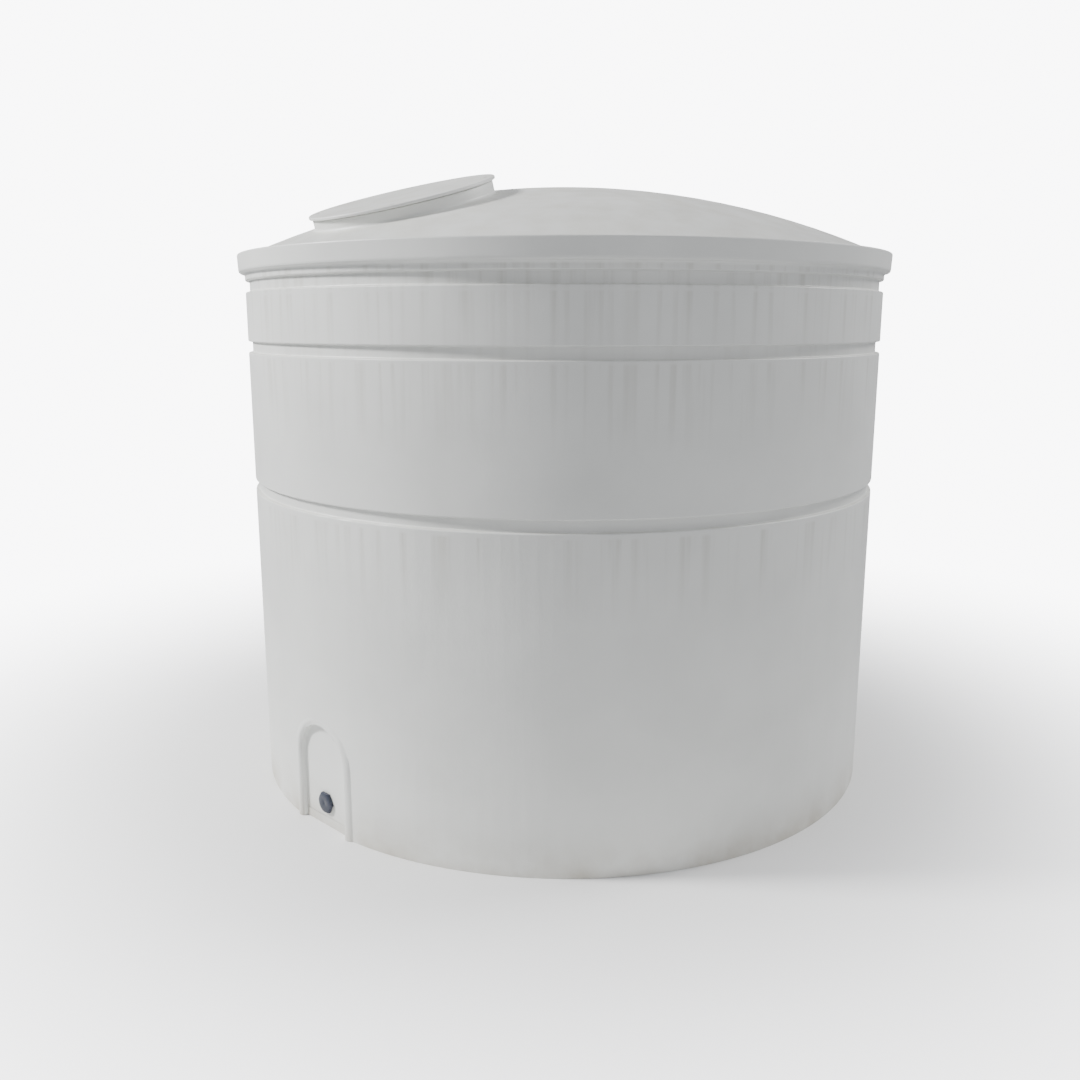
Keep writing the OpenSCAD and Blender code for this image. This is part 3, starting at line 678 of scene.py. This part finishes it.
# %% [markdown]
# ## Manhole lid
# The lid is a disc of the same plastic, a little dished where the mould cooled last, with a groove
# underneath for its gasket and four counterbores that keep the screw heads below its face. It could be
# one bevelled cylinder. Turning it gives the dish and the groove, and one stepped tool cuts all four
# counterbores.

# %% Manhole lid
lid_low, lid_high = box_in(manhole, "manhole_lid")
lid_r = lid_high.x
lid_under = lid_low.z
dish = 1.0
gasket_low, gasket_high = box_in(manhole, "lid_gasket")
gasket_in, gasket_out = radii_in(manhole, "lid_gasket", gasket_low.z, gasket_high.z)
lid = turned("lid_moulding", [
    (0, -dish), (0.3 * lid_r, -0.93 * dish), (0.6 * lid_r, -0.6 * dish), (0.85 * lid_r, -0.12 * dish),
    *rounded(lid_r - 3, -3, 3, 90, 0, 4),
    *rounded(lid_r - 2, lid_under + 2, 2, 0, -90),
    (gasket_out, lid_under), (gasket_out, gasket_high.z), (gasket_in, gasket_high.z), (gasket_in, lid_under),
    (0, lid_under)], steps=160, closed=False)
washer_low = box_in(manhole, "lid_screw_washers")[0]
bore_edge = 6.4
shank_room = 3.4
counterbore = turned("counterbore", [
    (0, 2), (bore_edge + 0.5, 2), (bore_edge + 0.5, 0), (bore_edge, -0.6), (bore_edge, washer_low.z),
    (shank_room, washer_low.z), (shank_room, lid_under - 2), (0, lid_under - 2)], steps=40, closed=False)
for place in screw_places:
    combine(lid, copy_at(counterbore, place), "DIFFERENCE")
bpy.data.objects.remove(counterbore)
hand_over(lid, manhole, "lid_polyethylene", "lid", "manhole_lid")

# %% [markdown]
# ## Rings, seals and washers
# A seal is never a sharp-edged ring: it comes out of its mould with rounded edges. All the plain rings
# are made by one function that measures the CAD ring in its own frame and spins a rounded section of
# exactly that size.

# %% Rings, seals and washers
def soft_ring(name, node, axes, edge, body):
    low, high = box_in(axes, node)
    inner, outer = radii_in(axes, node, low.z, high.z)
    slot = next(s["material_slot"] for s in frame["record"]["subparts"] if s["node"] == node)
    ring = turned(name, ring_outline(inner, outer, low.z, high.z, edge), steps=128)
    hand_over(ring, axes, slot, body, node)


soft_ring("locating_ring", "lid_ring", manhole, 2.0, "lid")
soft_ring("lid_seal", "lid_gasket", manhole, 0.9, "lid")
soft_ring("plug_seal", "outlet_plug_seal", outlet, 0.5, "plug_ring")
soft_ring("screen_keeper", "overflow_screen_ring", overflow, 0.6, "tank")
soft_ring("tail_outer_seal", "valve_outer_seal", valve, 0.8, "tank")

# %% [markdown]
# ## Screws
# The lid is held by four stainless button-head screws with a hexagon socket. A screw shows it is real
# by its socket, its rounded head and its thread, which is pressed in by moving the points of a finely
# spaced shank along a helix. One is made and copied.

# %% Lid screws
def screw(name):
    low, high = box_in(manhole, "lid_screws")
    head_r, head_h, shank_r, pitch, socket_r = 5.4, 3.0, 3.0, 1.0, 2.3
    top, under, foot = high.z, high.z - head_h, low.z
    piece = turned(name, [
        (0, top), (0.78 * head_r, top), (0.93 * head_r, top - 0.4), (head_r, top - 1.2),
        (head_r, under + 0.3), (head_r - 0.3, under), (shank_r, under),
        *down_thread(shank_r, under - 1, foot + 1, pitch), (shank_r - 0.9, foot), (0, foot)],
        steps=24, closed=False)
    cut_thread(piece, shank_r, under - 1, foot + 1, pitch, 0.55)
    bpy.ops.mesh.primitive_cylinder_add(
        vertices=6, radius=socket_r * mm, depth=4 * mm, location=(0, 0, (top + 0.1) * mm))
    return combine(piece, bpy.context.object, "DIFFERENCE")


pattern_screw = screw("screw_pattern")
for number, place in enumerate(screw_places, 1):
    one = copy_at(pattern_screw, place)
    one.name = f"lid_screw_{number}"
    hand_over(one, manhole, "stainless", "lid", *(["lid_screws"] if number == 1 else []))
bpy.data.objects.remove(pattern_screw)

# %% [markdown]
# ## Hexagons
# A real hexagon head or nut starts as a six-sided bar or moulding and has its corners turned off at 30
# degrees, which leaves a curved edge on every flat. It could be a six-sided cylinder with a bevel, but
# a bevel makes straight edges. Keeping what a bar and a turned blank have in common gives the true shape.

# %% Hexagons
def hexagon(name, flats, low, high, chamfer_low=True, dimple=0.0):
    """A six-sided head with flats that many millimetres apart and turned corners."""
    corner = flats / math.sqrt(3)
    face_r = 0.485 * flats
    drop = (corner + 1 - face_r) * math.tan(math.radians(30))
    foot = [(corner + 1, low + drop), (face_r, low)] if chamfer_low else [(corner + 1, low)]
    face = [(0, high - dimple), (3.5, high - dimple), (4.6, high)] if dimple else [(0, high)]
    blank = turned("blank", [*face, (face_r, high), (corner + 1, high - drop), *foot, (0, low)], closed=False)
    bpy.ops.object.select_all(action="DESELECT")
    bpy.ops.mesh.primitive_cylinder_add(
        vertices=6, radius=corner * mm, depth=(high - low + 4) * mm, location=(0, 0, (high + low) / 2 * mm))
    bar = bpy.context.object
    bar.name = name
    bpy.ops.object.transform_apply(location=True, rotation=True, scale=True)
    return combine(bar, blank, "INTERSECT")


def nut(name, node, axes, bore, slot, body):
    """A hexagon nut of the CAD nut's size, with countersunk ends to its bore."""
    low, high = box_in(axes, node)
    flats = 2 * min(high.x, high.y)
    piece = hexagon(name, flats, low.z, high.z)
    sink = 1.2
    tool = turned("bore", [
        (0, high.z + 1), (bore + sink, high.z + 1), (bore + sink, high.z), (bore, high.z - sink),
        (bore, low.z + sink), (bore + sink, low.z), (bore + sink, low.z - 1), (0, low.z - 1)], closed=False)
    combine(piece, tool, "DIFFERENCE")
    hand_over(soften(piece, 0.35), axes, slot, body, node)


tail_r = mounts["inlet_tail"]["dims"]["r_mm"]
nut("tail_outer_nut", "valve_outer_nut", valve, tail_r, "brass", "tank")
nut("tail_inner_nut", "valve_inner_nut", valve, tail_r, "brass", "tank")
pipe_r = mounts["overflow_spigot"]["dims"]["r_mm"]
nut("overflow_back_nut", "overflow_nut", overflow, pipe_r - 0.5, "fitting_pvc", "tank")

# %% [markdown]
# ## Outlet plug
# The plug is moulded polypropylene: a hexagon head with turned corners and a gate dimple in its face, on
# a pipe thread that is cored out from behind to save material. Head and shank are made apart, because
# one is six-sided and the other is turned, and then joined.

# %% Outlet plug
PIPE_PITCH = 2.309
PIPE_DEPTH = 1.48
plug_low, plug_high = box_in(outlet, "outlet_plug")
seal_top = box_in(outlet, "outlet_plug_seal")[1].z
thread_r = radii_in(outlet, "outlet_plug", plug_low.z, plug_low.z + 1)[1]
core_r = radii_in(outlet, "outlet_plug", plug_low.z, plug_low.z + 1)[0]
plug = hexagon("plug_moulding", 2 * plug_high.x, seal_top, plug_high.z, chamfer_low=False, dimple=0.5)
thread_top, thread_foot = seal_top - 2.2, plug_low.z + 1.6
shank = turned("shank", [
    (0, seal_top + 2), (thread_r - 1.6, seal_top + 2), (thread_r - 1.6, seal_top - 1.4),
    *down_thread(thread_r, thread_top, thread_foot, PIPE_PITCH),
    (thread_r - 1.6, plug_low.z), (core_r + 0.6, plug_low.z), (core_r, plug_low.z + 0.6),
    (core_r, -7.0), (core_r - 1, -6.0), (0, -6.0)], closed=False)
cut_thread(shank, thread_r, thread_top, thread_foot, PIPE_PITCH, PIPE_DEPTH)
combine(plug, shank, "UNION")
hand_over(plug, outlet, "plug_polypropylene", "plug", "outlet_plug")

# %% [markdown]
# ## Overflow
# The overflow is one turned-looking PVC moulding: a flange, a spigot with a lead-in chamfer for the
# drain pipe, and a threaded tail that the back nut pulls up inside the tank. A lip in its bore holds the
# insect screen.

# %% Overflow pipe
over_low, over_high = box_in(overflow, "overflow_pipe")
flange_r = over_high.x
mouth = over_high.z
bore = radii_in(overflow, "overflow_pipe", mouth - 0.1, mouth)[0]
screen_low, screen_high = box_in(overflow, "overflow_screen")
lip_r = radii_in(overflow, "overflow_pipe", screen_low.z - 5, screen_low.z + 0.1)[0]
flange_low, flange_high = 5.0, 13.0
over_tail_r = pipe_r - 0.5
pipe = turned("overflow_moulding", [
    (bore + 0.8, mouth), (pipe_r - 1.2, mouth), (pipe_r, mouth - 3),
    *rounded(pipe_r + 3, flange_high + 3, 3, 180, 270),
    *rounded(flange_r - 2, flange_high - 2, 2, 90, 0),
    *rounded(flange_r - 1, flange_low + 1, 1, 0, -90),
    (over_tail_r, flange_low),
    *down_thread(over_tail_r, flange_low - 7, over_low.z + 1.5, PIPE_PITCH),
    (over_tail_r - 1.4, over_low.z), (bore + 0.6, over_low.z), (bore, over_low.z + 0.6),
    (bore, screen_low.z - 4), (lip_r, screen_low.z - 4), (lip_r, screen_low.z), (bore, screen_low.z),
    (bore, mouth - 0.8)], steps=128)
cut_thread(pipe, over_tail_r, flange_low - 7, over_low.z + 1.5, PIPE_PITCH, PIPE_DEPTH)
hand_over(pipe, overflow, "fitting_pvc", "tank", "overflow_pipe")

# %% [markdown]
# ## Insect screen
# The screen is woven from stainless wire, each wire going over one and under the next. It could be a
# flat disc with a pattern, but wire has thickness and the light catches every crossing. One crimped
# wire is extruded along a wave, copied across both ways, and each copy is cut to the round rim. Real
# insect mesh has openings of about 1.5 mm; here the wires are 3 mm apart so that they can be seen.

# %% Insect screen
wire_r, wire_pitch = 0.3, 3.0
rim_out = screen_high.x
screen_mid = (screen_low.z + screen_high.z) / 2
wire_reach = rim_out - 1.0
crossings = math.ceil(wire_reach / wire_pitch)


def crimped_wire(name):
    """A wire along x that waves up and down once in two crossings."""
    half_steps = 2 * crossings
    xs = [i * wire_pitch / 2 for i in range(-half_steps - 1, half_steps + 2)]
    heights = [wire_r * math.cos(math.pi * x / wire_pitch) for x in xs]
    bpy.ops.object.select_all(action="DESELECT")
    bpy.ops.mesh.primitive_circle_add(
        vertices=6, radius=wire_r * mm, fill_type="NGON", location=(xs[0] * mm, 0, heights[0] * mm),
        rotation=(0, math.radians(90), 0))
    wire = bpy.context.object
    wire.name = name
    bpy.ops.object.mode_set(mode="EDIT")
    bpy.ops.mesh.select_all(action="SELECT")
    for (x, z), (next_x, next_z) in zip(zip(xs, heights), zip(xs[1:], heights[1:])):
        bpy.ops.mesh.extrude_region_move(
            TRANSFORM_OT_translate={"value": ((next_x - x) * mm, 0, (next_z - z) * mm)})
    bpy.ops.mesh.select_all(action="SELECT")
    bpy.ops.mesh.normals_make_consistent(inside=False)
    bpy.ops.object.mode_set(mode="OBJECT")
    bpy.ops.object.transform_apply(location=True, rotation=True, scale=True)
    return wire


def trimmed(wire, half):
    """Cuts a wire to a length either side of its middle and closes its ends."""
    choose(wire)
    bpy.ops.object.mode_set(mode="EDIT")
    for side in (-1, 1):
        bpy.ops.mesh.select_all(action="SELECT")
        bpy.ops.mesh.bisect(
            plane_co=(side * half * mm, 0, 0), plane_no=(side, 0, 0), use_fill=True, clear_outer=True)
    bpy.ops.object.mode_set(mode="OBJECT")


weave = []
pattern_wire = crimped_wire("wire_pattern")
for across in (0, 1):
    for line in range(-crossings + 1, crossings):
        offset = line * wire_pitch
        half = math.sqrt(wire_reach ** 2 - offset ** 2)
        if half < wire_pitch:
            continue
        wire = copy_at(pattern_wire, (0, 0, 0))
        trimmed(wire, half)
        over = -1 if (line + across) % 2 else 1
        turn = Matrix.Rotation(math.radians(90 * across), 4, "Z")
        wire.data.transform(turn @ Matrix.Translation((0, offset * mm, 0)) @ Matrix.Diagonal((1, 1, over, 1)))
        if over < 0:
            wire.data.flip_normals()
        weave.append(wire)
bpy.data.objects.remove(pattern_wire)
rim = turned("woven_screen", ring_outline(
    rim_out - 3, rim_out, screen_low.z, screen_high.z, 0.5), steps=96)
for wire in weave:
    wire.data.transform(Matrix.Translation((0, 0, screen_mid * mm)))
choose(rim, *weave)
bpy.ops.object.join()
hand_over(rim, overflow, "stainless", "tank", "overflow_screen")

# %% [markdown]
# ## Float valve
# The body is a brass casting turned on the outside, with a one inch pipe thread on its tail. The piston
# slides in its bore, the arm's lever works through a slot underneath, and water leaves by a hole under
# the seat. The blank is turned and threaded first and the openings are cut after it, as at the foundry.

# %% Valve body
valve_low, valve_high = box_in(valve, "valve_body")
body_r = valve_high.x
pivot_place = valve.inverted() @ pivot / mm
seat_low, seat_high = box_in(valve, "valve_seat")
shoulder = seat_low.z + 16
seat_bore = seat_high.x
piston_bore = box_in(valve, "valve_piston")[1].x + 0.05
relief_low, relief_high = 14.5, 18.0
relief_r = tail_r - 1.4
body = turned("valve_casting", [
    (seat_bore + 1.0, valve_high.z), (tail_r - 1.6, valve_high.z),
    *down_thread(tail_r, valve_high.z - 1.6, relief_high + 0.7, PIPE_PITCH),
    (relief_r, relief_high), (relief_r, relief_low),
    *down_thread(tail_r, relief_low - 0.7, shoulder + 4, PIPE_PITCH),
    *rounded(tail_r + 1, shoulder + 1, 1, 180, 270),
    *rounded(body_r - 1.2, shoulder - 1.2, 1.2, 90, 0),
    (body_r, pivot_place.z + 14), (body_r - 0.8, pivot_place.z + 13), (body_r - 0.8, pivot_place.z + 10),
    (body_r, pivot_place.z + 9),
    *rounded(body_r - 1.5, valve_low.z + 1.5, 1.5, 0, -90),
    (piston_bore + 0.8, valve_low.z), (piston_bore, valve_low.z + 0.8),
    (piston_bore, seat_low.z), (seat_bore, seat_low.z), (seat_bore, valve_high.z - 1.0)], steps=72)
cut_thread(body, tail_r, valve_high.z - 1.6, relief_high + 0.7, PIPE_PITCH, PIPE_DEPTH)
cut_thread(body, tail_r, relief_low - 0.7, shoulder + 4, PIPE_PITCH, PIPE_DEPTH)

# %% [markdown]
# ## Openings in the valve body
# The lever needs a slot in the underside, the water a way out under the seat, and the arm a cross hole
# for its pin. They could be left out, since they are small, but the lever would then pass through solid
# brass. Each is a plain block or rod that is subtracted from the casting.

# %% Openings in the valve body
SLOT_HALF = 3.8
DRIP_HOLE_R = 6
PIN_HOLE_R = 2


def box_tool(low, high):
    low, high = Vector(low) * mm, Vector(high) * mm
    bpy.ops.object.select_all(action="DESELECT")
    bpy.ops.mesh.primitive_cube_add(size=1, location=(low + high) / 2, scale=high - low)
    return bpy.context.object


def rod_tool(radius, start, end):
    start, end = Vector(start) * mm, Vector(end) * mm
    bpy.ops.object.select_all(action="DESELECT")
    bpy.ops.mesh.primitive_cylinder_add(
        vertices=32, radius=radius * mm, depth=(end - start).length, location=(start + end) / 2,
        rotation=(end - start).to_track_quat("Z", "Y").to_euler())
    return bpy.context.object


combine(body, box_tool(
    (-body_r - 2, -SLOT_HALF, valve_low.z - 2), (0, SLOT_HALF, pivot_place.z + 9)), "DIFFERENCE")
combine(body, rod_tool(
    DRIP_HOLE_R, (-body_r - 2, 0, seat_low.z - 8), (0, 0, seat_low.z - 8)), "DIFFERENCE")
pin_height = pivot_place.x
combine(body, rod_tool(
    PIN_HOLE_R, (pin_height, -body_r, pivot_place.z), (pin_height, body_r, pivot_place.z)), "DIFFERENCE")
hand_over(body, valve, "brass", "tank", "valve_body")

# %% [markdown]
# ## Float and its lock nut
# The float is blown from a tube of polyethylene between two mould halves, and where they met it keeps a
# fine raised seam round its middle. A plain sphere has none. Here the ring of edges on the mould's plane
# is widened by a bevel into a narrow band, and the band is raised by half a millimetre.

# %% Float and its lock nut
SEAM_HALF, SEAM_STAND = 0.9, 0.5
ball_centre = (ball_low + ball_high) / 2
ball_r = (ball_high.z - ball_low.z) / 2
arm_l = (ball_centre - pivot).length
bpy.ops.object.select_all(action="DESELECT")
bpy.ops.mesh.primitive_uv_sphere_add(segments=96, ring_count=48, radius=ball_r, location=(0, 0, arm_l))
ball = bpy.context.object
ball.name = "blown_float"
bpy.ops.object.mode_set(mode="EDIT")
bpy.ops.mesh.select_all(action="DESELECT")
bpy.ops.object.mode_set(mode="OBJECT")
for edge in ball.data.edges:
    heights = [ball.data.vertices[i].co.z for i in edge.vertices]
    edge.select = max(abs(h) for h in heights) < 0.1 * mm
bpy.ops.object.mode_set(mode="EDIT")
bpy.ops.mesh.select_mode(type="EDGE")
bpy.ops.mesh.bevel(offset=SEAM_HALF * mm, segments=1)
bpy.ops.mesh.select_mode(type="FACE")
bpy.ops.mesh.extrude_region_shrink_fatten(TRANSFORM_OT_shrink_fatten={"value": SEAM_STAND * mm})
bpy.ops.mesh.select_all(action="SELECT")
bpy.ops.mesh.normals_make_consistent(inside=False)
bpy.ops.mesh.select_mode(type="VERT")
bpy.ops.object.mode_set(mode="OBJECT")
bpy.ops.object.transform_apply(location=True, rotation=True, scale=True)
hand_over(ball, arm, "float_polyethylene", "float_arm", "float_ball")

rod_r = 3.2
nut("float_nut", "float_lock_nut", arm, rod_r, "brass", "float_arm")
